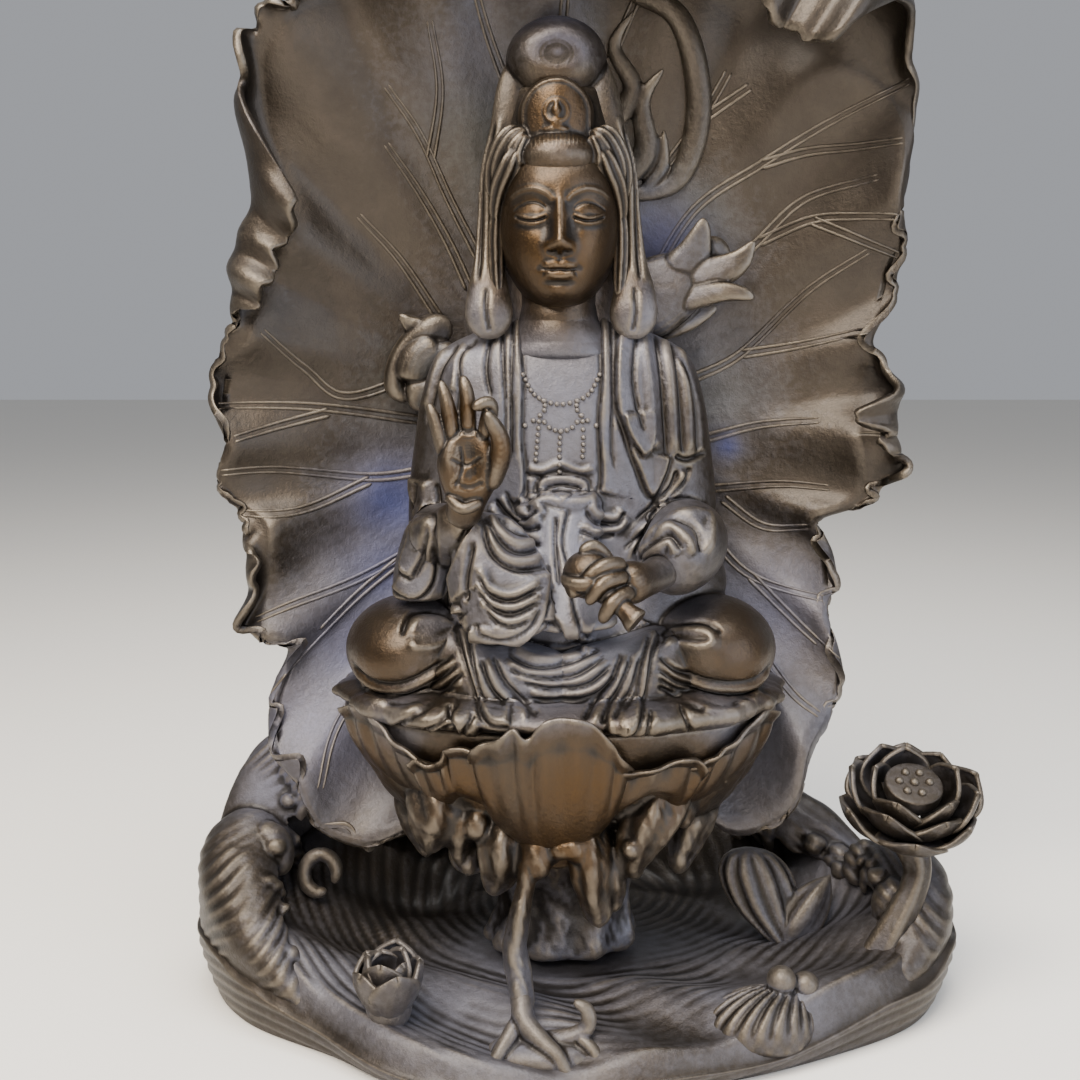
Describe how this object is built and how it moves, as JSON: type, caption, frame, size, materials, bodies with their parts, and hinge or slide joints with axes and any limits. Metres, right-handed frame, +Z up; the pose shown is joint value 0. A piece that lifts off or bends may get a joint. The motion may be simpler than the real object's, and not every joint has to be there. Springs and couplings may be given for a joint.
{
  "type": "guanyin figure",
  "caption": "Cast bronze guanyin seated on a rock and petal seat before a large curled lotus leaf, above a plinth of breaking waves with lotus flowers.",
  "frame": {"origin": "on the underside of the plinth, below the figure's middle", "axes": "+Z up, the figure faces -Y, +X to the right of someone who looks at its face"},
  "size_m": [0.1969, 0.1164, 0.2673],
  "materials": {
    "bronze_figure": "cast bronze, dark brown, rubbed to a warm gold brown on the raised places, with a dull blue-grey dust in the folds",
    "bronze_leaf": "cast bronze, dark brown, satin, rubbed bright along the rim, with grey-green and indigo bloom near the figure",
    "bronze_plinth": "cast bronze, dark brown to purple grey, satin, rubbed on the crests"
  },
  "bodies": {
    "root": {"guanyin": "bronze_figure", "leaf_screen": "bronze_leaf", "wave_plinth": "bronze_plinth"}
  },
  "joints": []
}
